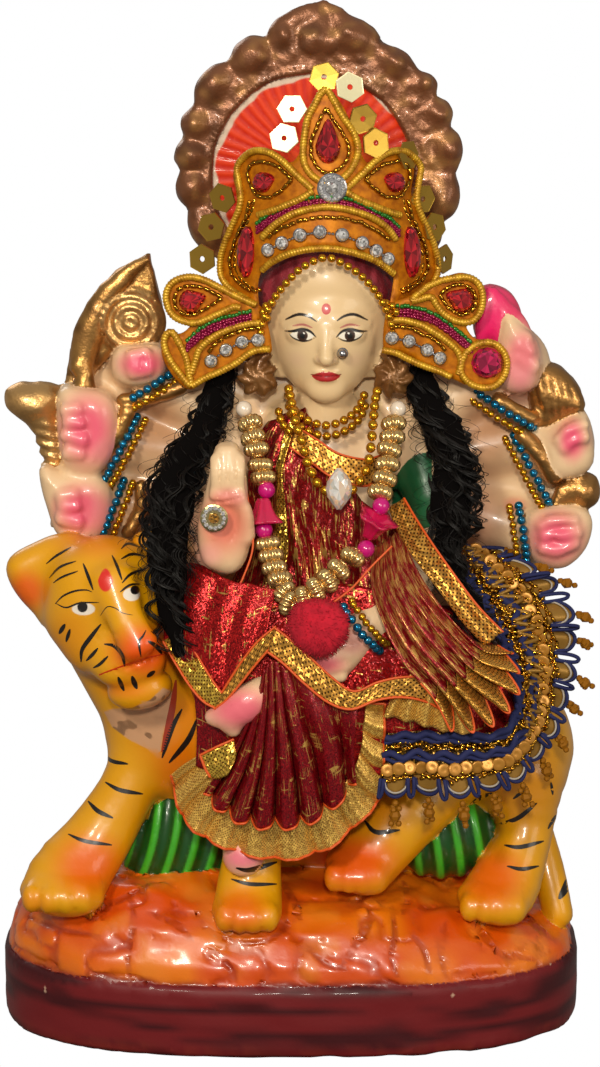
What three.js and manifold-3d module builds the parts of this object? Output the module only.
// Dressed plaster figure of the goddess Durga on her tiger.
// Millimetres, +Z up, the front faces -Y, origin at the centre of the plinth's flat underside.
import * as THREE from 'three';
import { mergeVertices } from 'three/addons/utils/BufferGeometryUtils.js';
import Module from 'manifold-3d';

const wasm = await Module();
wasm.setup();

// Driving sizes
const figureHeight = 305;
const plinthWidth = 177;
const plinthDepth = 100;
const plinthBand = 22;
const plinthRound = 2.5;
const rockInset = 3;
const haloThickness = 8;
const backThickness = 11;
const spineThickness = 29;
const swordThickness = 9.5;
const handThickness = 17.5;
const palmThickness = 11;
const earThickness = 11;
const budThickness = 13;
const shellThickness = 12.5;
const clearance = 0.3;
const clothThickness = 1.4;
const laceThickness = 2.6;
const ribbonThickness = 0.9;
const cardThickness = 1.6;
const motifThickness = 1.1;
const stoneDepth = 2.2;
const sequinWidth = 8.2;
const sequinThickness = 0.6;
const bangleBead = 2.7;
const bangleRowGap = 0.5;
const faceBead = 2.4;
const chokerBead = 2.7;
const necklaceBead = 3;
const garlandBead = 6.4;
const garlandPitch = 4.6;
const stringPitch = 1.25;
const pompomWidth = 18;
const hairLockWidth = 19.5;

// The figure is drawn 283 high over a plinth band of 22. Its pose and carving are shares of its height.
const share = (figureHeight - plinthBand) / 283;
const at = (x, y, z) => new THREE.Vector3(x * share, y * share, plinthBand + (z - 22) * share);
const mid = 10.3;
const middleOf = (a, b, t) => a + (b - a) * t;

// Solids
const positionsOnly = (geometry) => {
  const bare = geometry.clone();
  bare.deleteAttribute('normal');
  bare.deleteAttribute('uv');
  return mergeVertices(bare, 1e-4);
};

const solid = (geometry) => {
  const merged = positionsOnly(geometry);
  return new wasm.Manifold(new wasm.Mesh({
    numProp: 3,
    vertProperties: merged.attributes.position.array,
    triVerts: new Uint32Array(merged.index.array),
  }));
};

const join = (solids) => solids.reduce((all, one) => all.add(one));

const largest = (body) => body.decompose().reduce((best, one) => (one.volume() > best.volume() ? one : best));

const geometryOf = (body) => {
  const { vertProperties, triVerts } = body.getMesh();
  const geometry = new THREE.BufferGeometry();
  geometry.setAttribute('position', new THREE.BufferAttribute(new Float32Array(vertProperties), 3));
  geometry.setIndex(new THREE.BufferAttribute(new Uint32Array(triVerts), 1));
  return geometry;
};

// A closed skin over rings of points, pointed at both ends, turned so that its faces point out.
function skin(rings, first, last) {
  const count = rings[0].length;
  const points = [first, ...rings.flat(), last];
  const end = points.length - 1;
  const corner = (ring, side) => 1 + ring * count + (side % count);
  const faces = [];
  for (let side = 0; side < count; side += 1) {
    faces.push([0, corner(0, side + 1), corner(0, side)]);
    for (let ring = 0; ring < rings.length - 1; ring += 1) {
      faces.push([corner(ring, side), corner(ring, side + 1), corner(ring + 1, side + 1)]);
      faces.push([corner(ring, side), corner(ring + 1, side + 1), corner(ring + 1, side)]);
    }
    faces.push([end, corner(rings.length - 1, side), corner(rings.length - 1, side + 1)]);
  }
  const volume = faces.reduce((sum, [a, b, c]) => (
    sum + points[a].dot(new THREE.Vector3().crossVectors(points[b], points[c]))), 0);
  const outward = volume > 0 ? faces : faces.map(([a, b, c]) => [a, c, b]);
  const geometry = new THREE.BufferGeometry().setFromPoints(points);
  geometry.setIndex(outward.flat());
  return geometry;
}

// A ring of points round a centre, spanned by two half axes.
function ringAt(centre, across, up, sides, radiusAt = () => 1) {
  return Array.from({ length: sides }, (_, side) => {
    const angle = (2 * Math.PI * side) / sides;
    return centre.clone()
      .addScaledVector(across, Math.cos(angle) * radiusAt(angle))
      .addScaledVector(up, Math.sin(angle) * radiusAt(angle));
  });
}

// A limb through stations of x, y, z, half width and half depth (round where the depth is left out),
// with domed ends.
function limb(stations, grow = 0, sides = 6, steps = 1) {
  const points = stations.map(([x, y, z]) => at(x, y, z));
  const curve = new THREE.CatmullRomCurve3(points);
  const spans = (stations.length - 1) * steps;
  const run = points[points.length - 1].clone().sub(points[0]);
  const sideways = Math.abs(run.x) > Math.max(Math.abs(run.z), Math.abs(run.y));
  const reference = sideways ? new THREE.Vector3(0, 0, 1) : new THREE.Vector3(1, 0, 0);
  const rings = [];
  const domeShare = 0.7;
  let ends = [];
  for (let i = 0; i <= spans; i += 1) {
    const place = i / steps;
    const from = Math.min(Math.floor(place), stations.length - 2);
    const [a, b] = [stations[from], stations[from + 1]];
    const width = middleOf(a[3], b[3], place - from) * share + grow;
    const depth = middleOf(a[4] ?? a[3], b[4] ?? b[3], place - from) * share + grow;
    const centre = curve.getPoint(i / spans);
    const along = curve.getTangent(i / spans).normalize();
    const across = reference.clone().addScaledVector(along, -reference.dot(along)).normalize();
    const up = new THREE.Vector3().crossVectors(along, across);
    const round = Math.min(width, depth);
    const ring = (shift, size) => ringAt(
      centre.clone().addScaledVector(along, shift * round),
      across.clone().multiplyScalar(width * size),
      up.clone().multiplyScalar(depth * size),
      sides,
    );
    if (i === 0) rings.push(ring(-domeShare, domeShare));
    rings.push(ring(0, 1));
    if (i === spans) rings.push(ring(domeShare, domeShare));
    if (i === 0) ends = [centre.clone().addScaledVector(along, -round)];
    if (i === spans) ends.push(centre.clone().addScaledVector(along, round));
  }
  return solid(skin(rings, ends[0], ends[1]));
}

// An egg round a centre with half sizes along x, y and z, leaned in the picture plane.
function egg([x, y, z], [rx, ry, rz], grow = 0, lean = 0, sides = 8, rings = 4) {
  const geometry = new THREE.SphereGeometry(1, sides, rings).rotateX(Math.PI / 2);
  geometry.scale(rx * share + grow, ry * share + grow, rz * share + grow);
  geometry.rotateY(lean);
  const centre = at(x, y, z);
  return solid(geometry.translate(centre.x, centre.y, centre.z));
}

// A plate cut to an outline in the picture plane, of a thickness in front of its back.
function plate(outline, back, thickness, grow, edgeShare) {
  const edge = edgeShare * share;
  const corners = outline.map(([x, z]) => {
    const corner = at(x, 0, z);
    return new THREE.Vector2(corner.x, corner.z);
  });
  const geometry = new THREE.ExtrudeGeometry(new THREE.Shape(corners), {
    depth: thickness - 2 * edge + 2 * grow,
    bevelThickness: edge,
    bevelSize: edge,
    bevelOffset: grow - edge,
    bevelSegments: 1,
  });
  return solid(geometry.rotateX(Math.PI / 2).translate(0, back * share - edge + grow, 0));
}

// A sheet over a surface of u and v, thickened along its lift direction and grown at its edges.
const forwards = () => new THREE.Vector3(0, -1, 0);
function sheet(surface, acrossCount, alongCount, thickness, grow = 0, liftAt = forwards) {
  const spread = (t, length) => t + (t < 1e-6 ? -1 : t > 1 - 1e-6 ? 1 : 0) * (grow / length);
  const width = surface(0, 0.5).distanceTo(surface(1, 0.5));
  const height = surface(0.5, 0).distanceTo(surface(0.5, 1));
  const geometry = new THREE.BoxGeometry(1, 1, 1, acrossCount, alongCount, 1);
  const position = geometry.attributes.position;
  for (let i = 0; i < position.count; i += 1) {
    const u = spread(position.getX(i) + 0.5, width);
    const v = spread(position.getY(i) + 0.5, height);
    const lift = position.getZ(i) * (thickness + 2 * grow);
    const point = surface(u, v).addScaledVector(liftAt(u, v), lift);
    position.setXYZ(i, point.x, point.y, point.z);
  }
  const body = positionsOnly(geometry);
  if (solid(body).volume() < 0) {
    const index = Array.from(body.index.array);
    for (let i = 0; i < index.length; i += 3) [index[i], index[i + 1]] = [index[i + 1], index[i]];
    body.setIndex(index);
  }
  return solid(body);
}

// A smooth line through drawn points, and the surface between two such lines.
const lineThrough = (points) => new THREE.CatmullRomCurve3(points.map(([x, y, z]) => at(x, y, z)));
const insideOne = (t) => Math.min(Math.max(t, 0), 1);
function pointOn(line, t) {
  const point = line.getPoint(insideOne(t));
  const past = t - insideOne(t);
  return point.addScaledVector(line.getTangent(insideOne(t)), past * line.getLength());
}
const between = (one, other) => (u, v) => pointOn(one, u).lerp(pointOn(other, u), v);

// Beads fused on one thread: each is a full ring between two narrow ones.
function beadString(line, bead, grow, sides, pitch) {
  const count = Math.max(2, Math.round(line.getLength() / pitch));
  const waist = 0.45;
  const rings = [];
  for (let i = 0; i <= 2 * count; i += 1) {
    const t = i / (2 * count);
    const along = line.getTangentAt(t);
    const outward = new THREE.Vector3(0, -1, 0);
    outward.addScaledVector(along, -outward.dot(along)).normalize();
    const across = new THREE.Vector3().crossVectors(along, outward);
    const radius = (bead / 2) * (i % 2 ? 1 : waist) + grow;
    across.multiplyScalar(radius);
    outward.multiplyScalar(radius);
    rings.push(ringAt(line.getPointAt(t), across, outward, sides));
  }
  const start = line.getPointAt(0).addScaledVector(line.getTangentAt(0), -0.2 - grow);
  const end = line.getPointAt(1).addScaledVector(line.getTangentAt(1), 0.2 + grow);
  return solid(skin(rings, start, end));
}

const seedString = (line, bead, grow) => beadString(line, bead, grow, 3, stringPitch * bead);

// A cut stone with a flat back and table, its outline given as a radius for each angle.
function stone(centre, halfWidth, halfHeight, sides, outline, grow) {
  const across = new THREE.Vector3(halfWidth * share + grow, 0, 0);
  const up = new THREE.Vector3(0, 0, halfHeight * share + grow);
  const table = 0.55;
  const ring = (depth, size) => ringAt(
    centre.clone().add(new THREE.Vector3(0, -depth, 0)),
    across.clone().multiplyScalar(size),
    up.clone().multiplyScalar(size),
    sides,
    outline,
  );
  const rings = [ring(-grow, 1), ring(stoneDepth + grow, table)];
  const behind = centre.clone().add(new THREE.Vector3(0, grow, 0));
  const front = centre.clone().add(new THREE.Vector3(0, -stoneDepth - grow, 0));
  return solid(skin(rings, behind, front));
}
const roundOutline = () => 1;
const dropOutline = (angle) => 0.86 + 0.36 * Math.max(0, Math.sin(angle)) ** 4 - 0.1 * Math.cos(angle) ** 2;

// The plinth and the rocks on it, in one: rings of a rounded plan, each with its inset and height.
function plinthAndRocks(grow) {
  const sides = 26;
  const planPower = 2.7;
  const plan = (angle, inset) => {
    const round = (value) => Math.sign(value) * Math.abs(value) ** (2 / planPower);
    return [
      (plinthWidth / 2 - inset) * round(Math.cos(angle)),
      (plinthDepth / 2 - inset) * round(Math.sin(angle)),
    ];
  };
  const ring = (inset, heightAt, shrink = 1) => Array.from({ length: sides }, (_, side) => {
    const angle = (2 * Math.PI * side) / sides;
    const [x, y] = plan(angle, inset - grow);
    return new THREE.Vector3(x * shrink, y * shrink, heightAt(x * shrink, angle));
  });
  const flat = (height) => () => height;
  const rise = (level, lump) => (x, angle) => {
    const lean = 1 - 0.28 * (x / (plinthWidth / 2));
    const lumps = lump * (Math.sin(angle * 9 + level) + Math.sin(angle * 5 + 2 * level));
    return plinthBand + (level * lean + lumps) * share + grow;
  };
  const rings = [
    ring(plinthRound * 0.6, flat(-grow)),
    ring(0, flat(plinthRound)),
    ring(0, flat(plinthBand - plinthRound)),
    ring(rockInset, rise(4, 0.4)),
    ring(rockInset, rise(13, 1), 0.9),
    ring(rockInset, rise(18, 1.3), 0.74),
    ring(rockInset, rise(21, 1), 0.4),
  ];
  return solid(skin(rings, new THREE.Vector3(0, 0, -grow), at(0, 0, 43 + grow)));
}

// The tiger stands with its head to the viewer's left, its body behind the seated goddess.
function tiger(grow) {
  const headLean = -0.18;
  return [
    limb([[-36, -6, 88, 22, 19], [0, 2, 90, 22, 20], [42, 4, 87, 23, 21], [66, 2, 80, 23, 20]], grow, 8),
    egg([-54, -25, 133], [18.5, 17, 20.5], grow, headLean, 9, 6),
    egg([-57.5, -27, 126], [12.5, 12, 11], grow, -0.5),
    egg([-46.5, -38, 118.5], [11.8, 8.6, 10], grow, headLean),
    egg([-44, -36, 110], [10, 8, 7], grow, headLean, 7),
    plate([[-84, 142.5], [-81.5, 145.5], [-74.5, 150], [-67, 150.5], [-65.5, 136.5], [-72.5, 126], [-76, 130],
      [-81.5, 138]], -12, earThickness, grow, 3),
    limb([[-40, -14, 146, 8, 5], [-34, -14, 154, 4, 3]], grow, 5),
    limb([[-52, -14, 122, 17, 15], [-36, -10, 92, 18, 17]], grow, 8),
    limb([[-41, -10, 98, 13, 12], [-47, -17, 78, 9, 9], [-57, -22, 61, 10, 8.5], [-66, -28, 50, 12.4, 9],
      [-68, -36, 47, 13, 7.5]], grow),
    limb([[-18, -14, 84, 12, 11], [-12, -26, 62, 8.5], [-12.5, -34, 47, 10, 8],
      [-13, -42, 43, 10.6, 6.5]], grow),
    limb([[44, -10, 78, 15, 12], [33, -20, 66, 12, 11], [24, -26, 56, 10.5, 9],
      [19.5, -33, 52.5, 10.5, 7]], grow),
    limb([[70, -4, 80, 15, 18], [71, -14, 60, 8.5, 9], [64, -22, 45, 11, 9], [60, -30, 42, 11, 6.5]], grow),
    limb([[78, 2, 52, 4.4], [82, -2, 41, 4.8], [84.5, -7, 30, 4.2]], grow, 4),
    limb([[-36, 6, 58, 19, 20], [4, 8, 58, 19, 22], [48, 6, 58, 19, 20]], grow, 8),
    egg([-34, -12, 55], [17, 9, 19], grow, 0.25),
    egg([46, -12, 57], [17, 9, 13], grow),
  ];
}

// Head and headcloth by levels of height, half width, front and back depth.
function roundedHead(levels, sides, grow) {
  const rings = levels.map(([z, wide, front, back]) => Array.from({ length: sides }, (_, side) => {
    const angle = (2 * Math.PI * side) / sides;
    const depth = Math.sin(angle) < 0 ? front * share + grow : back * share + grow;
    return at(mid, -5, z).add(new THREE.Vector3(
      Math.cos(angle) * (wide * share + grow),
      Math.sin(angle) * depth,
      0,
    ));
  }));
  const lowest = at(mid, -12, levels[0][0] - 1.2).add(new THREE.Vector3(0, 0, -grow));
  const highest = at(mid, -4, levels[levels.length - 1][0] + 1).add(new THREE.Vector3(0, 0, grow));
  return solid(skin(rings, lowest, highest));
}

// The goddess sits sideways on the tiger, her right leg hanging down in front.
function goddess(grow) {
  return [
    limb([[8, -6, 108, 31, 22], [9, -7, 128, 27, 19], [mid, -7, 146, 18, 14], [mid, -5, 172, 22.5, 13],
      [mid, -4, 181, 20, 10]], grow, 8),
    limb([[16, -14, 116, 15], [44, -20, 112, 14], [63, -18, 106, 12.5]], grow),
    limb([[-2, -14, 114, 14], [-15, -28, 106, 12], [-16, -31, 90, 9], [-14, -36, 66, 6.4],
      [-14, -39, 59.5, 6]], grow),
    limb([[mid, -4, 180, 8.5], [mid, -7, 196, 8]], grow, 7),
    roundedHead([[193, 6, 13, 2], [197, 11, 15.5, 8], [204, 14.8, 17, 12], [212, 16.6, 17.2, 14],
      [221, 16.4, 16, 14], [228, 12, 11, 10]], 11, grow),
    roundedHead([[200, 19, 6, 14], [212, 21, 11, 17], [224, 20.5, 15.5, 17], [233, 15, 14, 13],
      [239, 7, 6, 6]], 9, grow),
    limb([[mid, -20, 211, 1.4], [mid, -23.2, 204.5, 2.1]], grow, 5),
    egg([-9, -8, 199], [4.5, 4, 7.5], grow, 0, 6, 4),
    egg([29.5, -8, 199], [4.5, 4, 7.5], grow, 0, 6, 4),
    limb([[-18, -3, 176, 8.5], [-26, -12, 158, 8], [-21, -28, 149, 7.5]], grow),
    plate([[-22, 181.5], [-16, 182], [-13, 177.5], [-12.5, 166], [-13, 154.5], [-16, 150], [-22, 150.5],
      [-24.5, 160.5], [-24, 172]], -32, palmThickness, grow, 3),
    limb([[38, -3, 174, 9], [43, -16, 152, 8], [30, -37, 131, 6.6], [12, -46, 121, 6.8]], grow),
  ];
}

// Hands at the sides: how far back each is, and its outline in x and z.
const hands = [
  [4, [[-52.5, 204.5], [-48.5, 206.5], [-38.5, 206.5], [-37, 199.5], [-41.5, 195], [-48.5, 194.5],
    [-52.5, 198.5]]],
  [1, [[-68, 193.5], [-61.5, 194.5], [-53, 192], [-48, 183.5], [-51.5, 172], [-58, 168.5], [-67, 170.5],
    [-69, 181.5]]],
  [1, [[-74.5, 170.5], [-68, 169.5], [-56, 168.5], [-51, 163], [-52, 153], [-58, 148], [-68.5, 149],
    [-72, 157]]],
  [3, [[63, 216.5], [69, 212.5], [73.5, 205.5], [72.5, 194.5], [64.5, 192.5], [60.5, 198.5], [61, 208.5]]],
  [4, [[75.5, 180], [86.5, 187], [89.5, 179], [89.5, 170], [81, 166.5], [76, 169.5]]],
  [2, [[70.5, 156], [76, 158.5], [86, 158.5], [90, 154.5], [88, 146], [81.5, 140], [73.5, 141.5], [70, 149]]],
];

// Six side arms spread like a fan in one wall with the back, hands closed round what they hold.
function sideArms(grow) {
  return [
    plate([[-12, 196], [-30, 207], [-47, 208], [-70, 186], [-73, 150], [-20, 118], [50, 118], [87, 148],
      [89, 176], [62, 209], [40, 203]], 11, backThickness, grow, 3),
    plate([[-16, 150], [-20, 190], [-14, 232], [34, 232], [38, 190], [36, 150]], 29, spineThickness, grow, 3),
    limb([[-20, 3, 182, 8.5], [-36, 1, 191, 7], [-45, 0, 198, 7]], grow),
    limb([[-24, 3, 172, 9], [-44, 1, 175, 8], [-58, 0, 181, 8]], grow),
    limb([[-26, 3, 160, 10], [-45, 1, 158, 8.5], [-60, -1, 158, 8.5]], grow),
    limb([[40, 3, 182, 9], [56, 1, 193, 8], [67, 0, 201, 8]], grow),
    limb([[44, 3, 172, 9], [66, 1, 176, 8], [80, 0, 177, 8]], grow),
    limb([[44, 3, 158, 10], [62, 1, 152, 8.5], [76, 0, 149, 8.5]], grow),
    ...hands.map(([back, outline]) => plate(outline, back, handThickness, grow, 3.5)),
  ];
}

// What the side hands hold: curved sword with a ringed disc, mace, lotus bud, conch and a small shell.
function attributes(grow) {
  const disc = new THREE.LatheGeometry([
    new THREE.Vector2(0, 0),
    new THREE.Vector2(9.5 * share + grow, 0),
    new THREE.Vector2(8.5 * share + grow, 3.4 * share + grow),
    new THREE.Vector2(0, 4.4 * share + grow),
  ], 9).rotateX(Math.PI / 2);
  const discCentre = at(-47, -2, 213.5);
  return [
    plate([[-42, 233], [-40.5, 227.5], [-39, 220], [-37.5, 210.5], [-41, 206], [-53, 204], [-58, 198],
      [-62, 192], [-67, 194.5], [-66, 204.5], [-60.5, 217], [-52, 227]], 7, swordThickness, grow, 2),
    limb([[-43, -4, 231, 1.4], [-48, -4.5, 227.5, 2.4], [-55, -4.5, 220, 3.8], [-59.5, -4.5, 211.5, 4.3],
      [-62, -5, 201, 4], [-61.5, -6.5, 193.5, 3.8]], grow, 5),
    solid(disc.translate(discCentre.x, discCentre.y, discCentre.z)),
    limb([[-70, -5, 169.5, 3.8], [-71.5, -5, 178, 5.2], [-75, -5, 187, 6.4]], grow),
    egg([-76.5, -4.5, 189], [8.4, 7.4, 6], grow, 0.15),
    plate([[57.5, 223.5], [63.5, 222.5], [67.5, 218], [68.5, 210.5], [65, 206], [59.5, 204], [55, 208.5],
      [54, 217]], 5, budThickness, grow, 3.5),
    plate([[75, 200.5], [81, 199], [86.5, 192], [86.5, 186], [76.5, 180.5], [72, 185.5], [71, 195]],
      4, shellThickness, grow, 3.5),
    egg([87, -5, 162.5], [5.4, 6, 5.9], grow),
    egg([80, -7, 162.5], [5, 4.6, 5], grow, 0, 7),
  ];
}

// The halo: a field inside a raised rim of lobes, with a pointed tip.
function halo(grow) {
  const lobes = 21;
  const sides = lobes * 3;
  const centre = at(8.2, 26, 256.8);
  const fieldAside = at(6.4, 26, 253.9).sub(centre);
  const outer = 42.8 * share + grow;
  const lobeDepth = 3.2 * share;
  const fieldRadius = 30.5 * share;
  const front = -haloThickness / 2;
  const edgeOf = (side) => (side % 3 === 0 ? outer - lobeDepth : outer);
  const ring = (depth, radiusOf, aside = 0) => Array.from({ length: sides }, (_, side) => {
    const angle = (2 * Math.PI * (side + 1.5)) / sides + Math.PI / 2;
    return centre.clone().addScaledVector(fieldAside, aside).add(new THREE.Vector3(
      Math.cos(angle) * radiusOf(side),
      depth,
      Math.sin(angle) * radiusOf(side),
    ));
  });
  const rings = [
    ring(front + 2 * share - grow, () => fieldRadius, 1),
    ring(front - 1.5 * share - grow, (side) => edgeOf(side) - 5 * share),
    ring(haloThickness / 2 + grow, edgeOf),
  ];
  const fieldCentre = centre.clone().add(fieldAside).add(new THREE.Vector3(0, front + 2 * share - grow, 0));
  const backCentre = centre.clone().add(new THREE.Vector3(0, haloThickness / 2 + grow, 0));
  return [
    solid(skin(rings, fieldCentre, backCentre)),
    limb([[8.8, 25, 296, 5.5, 4], [9.3, 25.5, 301, 3, 2.4], [9.5, 26, 304.2, 0.8]], grow, 5),
  ];
}

const castingForm = (grow) => largest(join([
  plinthAndRocks(grow),
  ...tiger(grow),
  ...goddess(grow),
  ...sideArms(grow),
  ...attributes(grow),
  ...halo(grow),
]));

// Cloth
const zigzag = (u, count) => Math.abs(((insideOne(u) * count) % 1) - 0.5) * 2 - 0.5;
const pleated = (point, u, count, height) =>
  point.add(new THREE.Vector3(0, zigzag(u, count) * height * share, 0));

// The sari over the breast, in slanting pleats.
function torsoSari(grow) {
  const levels = [[120, 35, 25], [132, 30, 23], [146, 22.5, 18.5], [160, 22, 17.5], [172, 22.5, 16.5],
    [184, 15, 12]];
  const wrap = 2.5;
  const surface = (u, v) => {
    const place = v * (levels.length - 1);
    const from = Math.min(Math.max(Math.floor(place), 0), levels.length - 2);
    const [low, high] = [levels[from], levels[from + 1]];
    const [z, wide, deep] = low.map((value, i) => middleOf(value, high[i], place - from));
    const angle = (u - 0.5) * wrap;
    const fold = 1 + zigzag(u, 6) * 0.06;
    return at(mid + wide * Math.sin(angle) * fold, -5 - deep * Math.cos(angle) * fold, z);
  };
  const outwards = (u) => new THREE.Vector3(Math.sin((u - 0.5) * wrap), -Math.cos((u - 0.5) * wrap), 0);
  return sheet(surface, 12, 3, clothThickness, grow, outwards);
}

// The cloth over the lap and both thighs.
function lapCloth(grow) {
  const top = lineThrough([[-33, -20, 128], [-20, -36, 128], [5, -42, 127], [34, -41, 126], [66, -30, 121]]);
  const low = lineThrough([[-31, -24, 104], [-20, -42, 100], [5, -46, 90], [36, -45, 84], [70, -32, 90]]);
  return sheet(between(top, low), 10, 2, clothThickness * 2, grow);
}

// The drape over the right hip, its lower border in a V.
function hipDrape(grow) {
  const top = lineThrough([[-33, -28, 146], [-22, -37, 144], [-10, -41, 142], [2, -44, 138]]);
  const low = lineThrough([[-30, -38, 120], [-21, -46, 110], [-13, -49, 107.5], [3, -49, 127]]);
  const surface = (u, v) => pleated(between(top, low)(u, v), u, 6, 1.4);
  return sheet(surface, 12, 2, clothThickness, grow);
}

// The pleated skirt fan, from under the waist to its wide hem.
function skirtFan(grow) {
  const folds = 11;
  const top = lineThrough([[-8, -52, 117], [-5, -53, 121], [-2, -53.5, 122], [2, -53.5, 120]]);
  const middle = lineThrough([[-21, -49, 98], [-10, -54, 94], [5, -54.5, 92], [17, -52, 98]]);
  const hem = lineThrough([[-35, -40, 80], [-26, -46, 68], [-4, -51, 61], [17, -50, 66], [28.5, -45, 84]]);
  const surface = (u, v) => {
    const upper = pointOn(top, u).lerp(pointOn(middle, u), v * 2);
    const lower = pointOn(middle, u).lerp(pointOn(hem, u), v * 2 - 1);
    return pleated(v < 0.5 ? upper : lower, u, folds, 1 + 2.6 * v);
  };
  return sheet(surface, folds * 2, 2, clothThickness, grow);
}

// The ribbon across the lap, from the hip drape to the pallu.
function waistband(grow) {
  const top = lineThrough([[-7, -54.5, 132], [4, -57, 124.5], [15, -57, 117.5], [30, -55.5, 117],
    [45, -51.5, 118.5]]);
  const low = lineThrough([[-9, -54.5, 124], [2, -57.5, 117], [14, -57.5, 110.5], [30, -55.5, 110],
    [45, -51.5, 111]]);
  return sheet(between(top, low), 8, 1, ribbonThickness, grow);
}

// The pallu: narrow pleats from the shoulder that open to a fan over the knee.
function pallu(grow) {
  const folds = 7;
  const near = lineThrough([[15, -34, 150], [27, -48, 133], [40, -56, 117], [36, -58, 109], [33, -58, 101]]);
  const centre = lineThrough([[20, -35, 152], [33, -49, 136], [47, -56, 119], [54, -58, 108], [60, -57, 99]]);
  const far = lineThrough([[26, -34, 155], [39, -46, 141], [52, -53, 124], [62, -52, 119], [69, -47, 117]]);
  const surface = (u, v) => {
    const side = u < 0.5
      ? pointOn(near, v).lerp(pointOn(centre, v), u * 2)
      : pointOn(centre, v).lerp(pointOn(far, v), u * 2 - 1);
    return pleated(side, u, folds, 1.6 + 1.4 * v);
  };
  return sheet(surface, folds * 2, 3, clothThickness, grow);
}

// The lace flounce, gathered round the hem on the left hip and up the side.
function laceFlounce(grow) {
  const ruffles = 9;
  const inner = lineThrough([[28, -48, 100], [45, -50, 100], [61, -47, 98], [72, -37, 106], [73, -28, 116],
    [67, -20, 124], [60, -15, 132], [54, -12, 142]]);
  const outer = lineThrough([[25, -48, 80], [38, -50, 80], [52, -49, 79], [66, -42, 81], [78, -28, 87],
    [85, -16, 97], [88, -8, 110], [85, -6, 125], [76, -8, 136]]);
  const surface = (u, v) => between(inner, outer)(u, v)
    .add(new THREE.Vector3(0, 1.6 * share * Math.sin(u * ruffles * 2 * Math.PI) * v, 0));
  return sheet(surface, 18, 1, laceThickness, grow);
}

// The ribbon round the neckline.
function neckBorder(grow) {
  const top = lineThrough([[1, -18.5, 185], [10, -23, 181], [19, -26, 174]]);
  const low = lineThrough([[-2, -21, 180], [6, -25, 175], [14, -28, 168]]);
  return sheet(between(top, low), 4, 1, ribbonThickness, grow);
}

// A lock of curly hair: a lumpy limb through stations of x, y, z and share of the lock's width.
function hairLock(stations, grow) {
  const half = hairLockWidth / 2 / share;
  const lumpy = stations.map(([x, y, z, size], i) => {
    const lump = size * half * (i % 2 ? 1 : 0.88);
    return [x, y, z, lump, lump * 0.7];
  });
  return limb(lumpy, grow);
}
const leftHair = (grow) => hairLock([[-19.5, -6, 200, 0.52], [-21.5, -9, 194, 0.7], [-25.5, -17, 183.5, 0.76],
  [-29.5, -24, 176, 0.98], [-34.5, -32, 164, 1], [-35.5, -36.5, 152.5, 1], [-35.5, -38.5, 144, 0.88],
  [-34.5, -40.5, 134, 0.8], [-31.5, -43, 123.5, 0.42]], grow);
const rightHair = (grow) => hairLock([[39, -7, 199, 0.6], [40, -9, 193.5, 0.78], [43, -14, 185.5, 0.96],
  [46.5, -20, 176.5, 1.12], [47, -26, 164, 0.98], [46, -31, 152, 0.88], [48, -37, 141, 0.66],
  [53, -42, 132.5, 0.66], [56, -45, 127, 0.36]], grow);

// Crown: satin covered card bent round the head, with raised drop shaped motifs
const crownDepthAt = (x, z) => {
  const aside = Math.abs(x - mid);
  const bend = aside < 20 ? -23 + 8 * (aside / 20) ** 2 : -15 + (aside - 20) * 0.92;
  return bend + Math.max(0, z - 237) * 0.13;
};
const onCrown = (x, z, lift = 0) => at(x, crownDepthAt(x, z), z).add(new THREE.Vector3(0, -lift, 0));

// Height of the crown's upper and lower edge by the distance from its middle.
const heightFrom = (table, x) => {
  const from = table.findIndex((_, i) => i === table.length - 2 || x < table[i + 1][0]);
  const [[x0, z0], [x1, z1]] = [table[from], table[from + 1]];
  return middleOf(z0, z1, insideOne((x - x0) / (x1 - x0)));
};
const crownTop = [[0, 290], [4, 284], [8, 272], [11, 265], [18, 265], [24, 260], [26.5, 253], [31, 246],
  [34, 238], [36, 229]];
const crownFoot = [[0, 237], [8, 235.5], [15, 230], [20, 222.5], [20.6, 204], [24, 204], [30, 212], [34, 223],
  [36, 228]];

function crownFront(grow) {
  const stations = [0, 2, 4, 6, 8, 11, 15, 18, 20, 20.6, 24, 26.5, 30, 34, 36];
  const places = [...stations.slice(1).reverse().map((x) => -x), ...stations];
  const surface = (u, v) => {
    const place = insideOne(u) * (places.length - 1);
    const from = Math.min(Math.floor(place), places.length - 2);
    const beyond = (u - insideOne(u)) * 72;
    const x = middleOf(places[from], places[from + 1], place - from) + beyond;
    const z = middleOf(heightFrom(crownFoot, Math.abs(x)), heightFrom(crownTop, Math.abs(x)), v);
    return onCrown(mid + x, z);
  };
  const card = sheet(surface, places.length - 1, 1, cardThickness, grow);
  return join([card, crownMotif(grow)]);
}

// A raised drop on the card, with its point turned by an angle from straight up.
function dropMotif(place, width, height, turn, grow) {
  const shape = new THREE.Shape();
  const sides = 8;
  for (let side = 0; side < sides; side += 1) {
    const angle = (2 * Math.PI * side) / sides;
    const x = Math.cos(angle) * width * (1 - 0.35 * Math.max(0, Math.sin(angle)));
    const z = Math.sin(angle) * height * (Math.sin(angle) > 0.9 ? 1.35 : 0.9);
    if (side) shape.lineTo(x, z);
    else shape.moveTo(x, z);
  }
  const depth = cardThickness / 2 + motifThickness + grow;
  const geometry = new THREE.ExtrudeGeometry(shape, { depth, bevelEnabled: false });
  geometry.rotateX(Math.PI / 2).rotateY(turn);
  geometry.scale(share + grow / width, 1, share + grow / height);
  return solid(geometry.translate(place.x, place.y, place.z));
}
const crownMotif = (grow) => dropMotif(onCrown(mid, 266), 8.2, 12.5, 0, grow);

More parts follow.
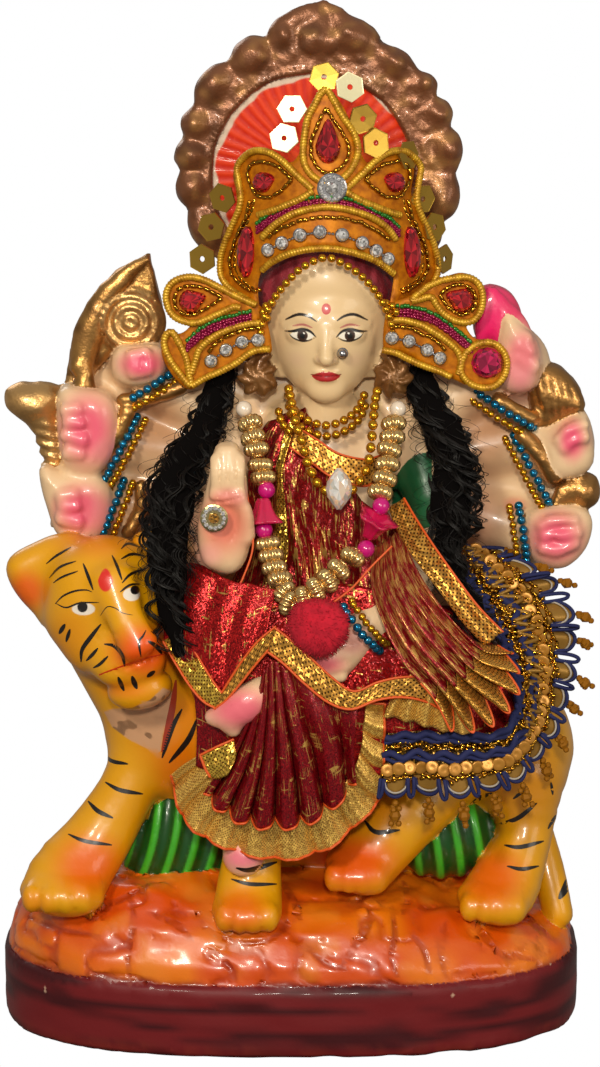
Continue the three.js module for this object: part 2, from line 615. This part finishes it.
// The side wings: a drop shaped lobe over a band of stones, ending in a folded tip.
const wingDepthAt = (x) => -15 + 0.06 * Math.max(0, Math.abs(x - mid) - 18);
function wing(outline, grow) {
  const corners = outline.map(([x, z]) => new THREE.Vector2(at(x, 0, z).x, at(x, 0, z).z));
  const geometry = new THREE.ExtrudeGeometry(new THREE.Shape(corners), {
    depth: cardThickness + 2 * grow,
    bevelEnabled: false,
  }).rotateX(Math.PI / 2);
  const position = geometry.attributes.position;
  for (let i = 0; i < position.count; i += 1) {
    const depth = wingDepthAt(position.getX(i) / share) * share;
    position.setY(i, position.getY(i) + depth + cardThickness / 2 + grow);
  }
  return solid(geometry);
}
const onWing = (x, z, lift = 0) => at(x, wingDepthAt(x), z).add(new THREE.Vector3(0, -lift, 0));
const leftWing = (grow) => wing([[-8, 216], [-15, 222], [-24, 228.5], [-33, 228], [-38, 222], [-36, 214.5],
  [-30, 212], [-38, 207], [-37, 199], [-30, 192.5], [-20, 198], [-13.6, 203.5], [-6.5, 206]], grow);
const rightWing = (grow) => wing([[28, 206], [36.5, 203], [46, 197.5], [53, 192.5], [61, 192.5], [66, 200],
  [63, 208], [56, 210], [57, 215], [58, 222], [53, 228.5], [44, 227.5], [36, 221], [29.5, 216]], grow);

const faceOfCard = cardThickness / 2 + clearance;
const onMotif = (x, z) => onCrown(x, z, faceOfCard + motifThickness);
const onWingFace = (x, z) => onWing(x, z, faceOfCard);

// Bead lines
const faceLine = lineThrough([[-8.6, -14, 205], [-8.4, -16, 214], [-4.8, -20, 222], [-0.3, -23, 228],
  [4, -24.5, 232], [mid, -25, 234.5], [16.4, -24.5, 232], [21.4, -23, 228], [26, -20, 222], [29.3, -16, 214],
  [29.5, -14, 205]]);
const chokerLine = lineThrough([[-1, -12, 193.5], [0.5, -16, 189.5], [4.5, -19.5, 186.5], [mid, -21, 185],
  [16, -19.5, 186.5], [20, -16, 189.5], [22, -12, 193.5]]);
const necklaceLine = lineThrough([[-4, -14, 191.5], [-0.5, -21, 183.5], [3.5, -26, 175.5], [9, -29, 170],
  [14.6, -30, 168.3], [19.5, -28.5, 171.5], [22.5, -25, 179], [24.6, -16, 189.5]]);
const garlandLine = lineThrough([[-13, -22, 188], [-10.4, -27, 181], [-8.5, -31, 171], [-7.3, -35, 161],
  [-6, -39, 149], [-3.4, -45, 139.5], [3.5, -48, 137.5], [11, -48, 141.5], [19, -44, 148.5], [23.4, -41, 157],
  [25.4, -36, 166], [27.6, -31, 175], [29, -26, 183], [29.4, -22, 189]]);

// A bangle's row of beads lies over the wrist between two points, bowed to the front.
function bangle([x0, y0, z0], [x1, y1, z1], bow, [dx, dz], grow) {
  const radius = bangleBead / 2 / share;
  const middle = [(x0 + x1) / 2 + dx, (y0 + y1) / 2 - bow, (z0 + z1) / 2 + dz, radius];
  return limb([[x0 + dx, y0, z0 + dz, radius], middle, [x1 + dx, y1, z1 + dz, radius]], grow, 4);
}
const bangles = {
  left_1: { from: [-50, -7, 189.5], to: [-36, -7, 198], toArm: [0.5, -0.87] },
  left_2: { from: [-46, -8, 184], to: [-56, -9, 165.5], toArm: [0.87, -0.3] },
  left_3: { from: [-50, -9, 165], to: [-57, -9, 147.5], toArm: [0.95, -0.2] },
  right_1: { from: [56, -7, 192], to: [71, -8, 183], toArm: [-0.5, -0.87] },
  right_2: { from: [66.5, -8, 178.5], to: [76.5, -9, 160], toArm: [-0.87, -0.3] },
  right_3: { from: [68, -9, 157.5], to: [70, -9, 142], toArm: [-0.95, -0.1] },
  front: { from: [17.5, -53, 133.5], to: [26.5, -51, 122], toArm: [0.8, 0.6] },
};

// Hexagonal sequins stand round the crown's edge, each turned a little to the light.
const sequins = [[10.7, 285.4], [17.4, 281], [0.3, 275.9], [-2.4, 267.8], [21, 272.7], [24.9, 265.8],
  [34.3, 260.6], [-19.9, 249.6], [-23.2, 241], [-25.6, 232.3], [38.9, 249.9], [42.3, 241.6], [45.8, 232.2]];

function sequin([x, z], index, grow) {
  const radius = (sequinWidth * share) / Math.sqrt(3);
  const half = sequinThickness / 2 + grow;
  const tilt = 0.06 * Math.sin(index * 2.4);
  const sides = 6;
  const geometry = new THREE.CylinderGeometry(radius + grow, radius + grow, 2 * half, sides);
  geometry.rotateX(tilt).rotateZ(tilt);
  const nearEdge = onCrown(x - Math.sign(x - mid) * 4.1, z);
  const lift = faceOfCard + motifThickness + sequinThickness * (1 + 2 * (index % 2));
  const place = at(x, 0, z);
  return solid(geometry.translate(place.x, nearEdge.y - lift, place.z));
}

const pompomRadius = pompomWidth / 2 / share;
const pompomSizes = [pompomRadius, pompomRadius * 0.9, pompomRadius];

// Colours of the finished pieces
const paint = (color, roughness = 0.3, metalness = 0) => ({ color, roughness, metalness });
const gold = paint(0xc9992e, 0.25, 1);
const satin = paint(0xe08a1c, 0.5);
const crimson = paint(0x9c1430, 0.45, 0.3);
const goldMesh = paint(0xb08a4a, 0.4, 0.6);
const ruby = paint(0xb0102a, 0.05);
const pinkStone = paint(0xd0185c, 0.05);
const clear = paint(0xe8e8ee, 0.03);
const silver = paint(0xc9c9cf, 0.2, 1);
const wool = paint(0xc0122b, 0.9);

// Each piece, from the lowest layer up: what lies on another is cut to it with the clearance.
const group = new THREE.Group();
const placed = [];
function place(name, form, look) {
  const touching = (box) => placed.filter(({ grown }) => {
    const other = grown.boundingBox();
    return [0, 1, 2].every((i) => other.min[i] < box.max[i] && other.max[i] > box.min[i]);
  });
  const raw = form(0);
  const body = touching(raw.boundingBox()).reduce((rest, lower) => rest.subtract(lower.grown), raw);
  const mesh = new THREE.Mesh(geometryOf(largest(body)), new THREE.MeshStandardMaterial(look));
  mesh.name = name;
  group.add(mesh);
  placed.push({ grown: form(clearance) });
}

place('plaster_casting', castingForm, paint(0xe9b58c, 0.2));
place('torso_sari', torsoSari, crimson);
place('lap_cloth', lapCloth, crimson);
place('hip_drape', hipDrape, crimson);
place('skirt_fan', skirtFan, crimson);
place('lace_flounce', laceFlounce, paint(0x6b5a3a, 0.5, 0.3));
place('waistband', waistband, goldMesh);
place('pallu', pallu, crimson);
place('neck_border', neckBorder, goldMesh);
place('hair_left', leftHair, paint(0x0b0a0c, 0.5));
place('hair_right', rightHair, paint(0x0b0a0c, 0.5));
place('crown_front', crownFront, satin);
place('crown_wing_left', leftWing, satin);
place('crown_wing_right', rightWing, satin);
place('crown_drop_stone', (grow) => stone(onMotif(mid, 265.5), 4, 6, 8, dropOutline, grow), ruby);
place('crown_round_stone', (grow) => stone(onMotif(11.8, 252.8), 4.2, 4.2, 8, roundOutline, grow), clear);
place('lobe_stone_left', (grow) => stone(onMotif(-8.4, 255.2), 3.4, 3.4, 7, roundOutline, grow), ruby);
place('lobe_stone_right', (grow) => stone(onMotif(28.8, 254.8), 3.4, 3.4, 7, roundOutline, grow), ruby);
place('flap_stone_left', (grow) => stone(onMotif(-13.8, 233), 2.2, 6, 7, roundOutline, grow), ruby);
place('flap_stone_right', (grow) => stone(onMotif(34.4, 233), 2.2, 6, 7, roundOutline, grow), ruby);
place('wing_stone_left', (grow) => stone(onWingFace(-29.4, 219.6), 3.8, 3.2, 7, roundOutline, grow), ruby);
place('wing_stone_right', (grow) => stone(onWingFace(49.7, 219.9), 3.8, 3.2, 7, roundOutline, grow), ruby);
place('wing_end_stone', (grow) => stone(onWingFace(58.3, 200.6), 4.4, 4.4, 8, roundOutline, grow), pinkStone);
sequins.forEach((spot, index) => {
  const name = `sequin_${String(index + 1).padStart(2, '0')}`;
  place(name, (grow) => sequin(spot, index, grow), paint(0xb99a3c, 0.15, 1));
});
place('face_bead_string', (grow) => seedString(faceLine, faceBead, grow), gold);
place('choker', (grow) => seedString(chokerLine, chokerBead, grow), gold);
place('necklace', (grow) => seedString(necklaceLine, necklaceBead, grow), gold);
place('pendant', (grow) => stone(at(14.6, -32, 166.5), 4, 6, 6, roundOutline, grow), clear);
place('garland', (grow) => beadString(garlandLine, garlandBead, grow, 4, garlandPitch), gold);
for (const [wrist, { from, to, toArm }] of Object.entries(bangles)) {
  const bow = 4.5;
  const row = (bangleBead + bangleRowGap) / share;
  const goldShift = toArm.map((value) => value * row);
  place(`bangle_blue_${wrist}`, (grow) => bangle(from, to, bow, [0, 0], grow), paint(0x0f7fa3, 0.25, 0.6));
  place(`bangle_gold_${wrist}`, (grow) => bangle(from, to, bow, goldShift, grow), gold);
}
place('palm_stones', (grow) => stone(at(-20.5, -46, 163.7), 3.8, 3.8, 8, roundOutline, grow), clear);
place('nose_stud', (grow) => stone(at(15, -22.5, 206.5), 1.4, 1.4, 6, roundOutline, grow), silver);
place('pompom', (grow) => egg([9, -56, 133], pompomSizes, grow, 0, 8, 5), wool);

export default group;
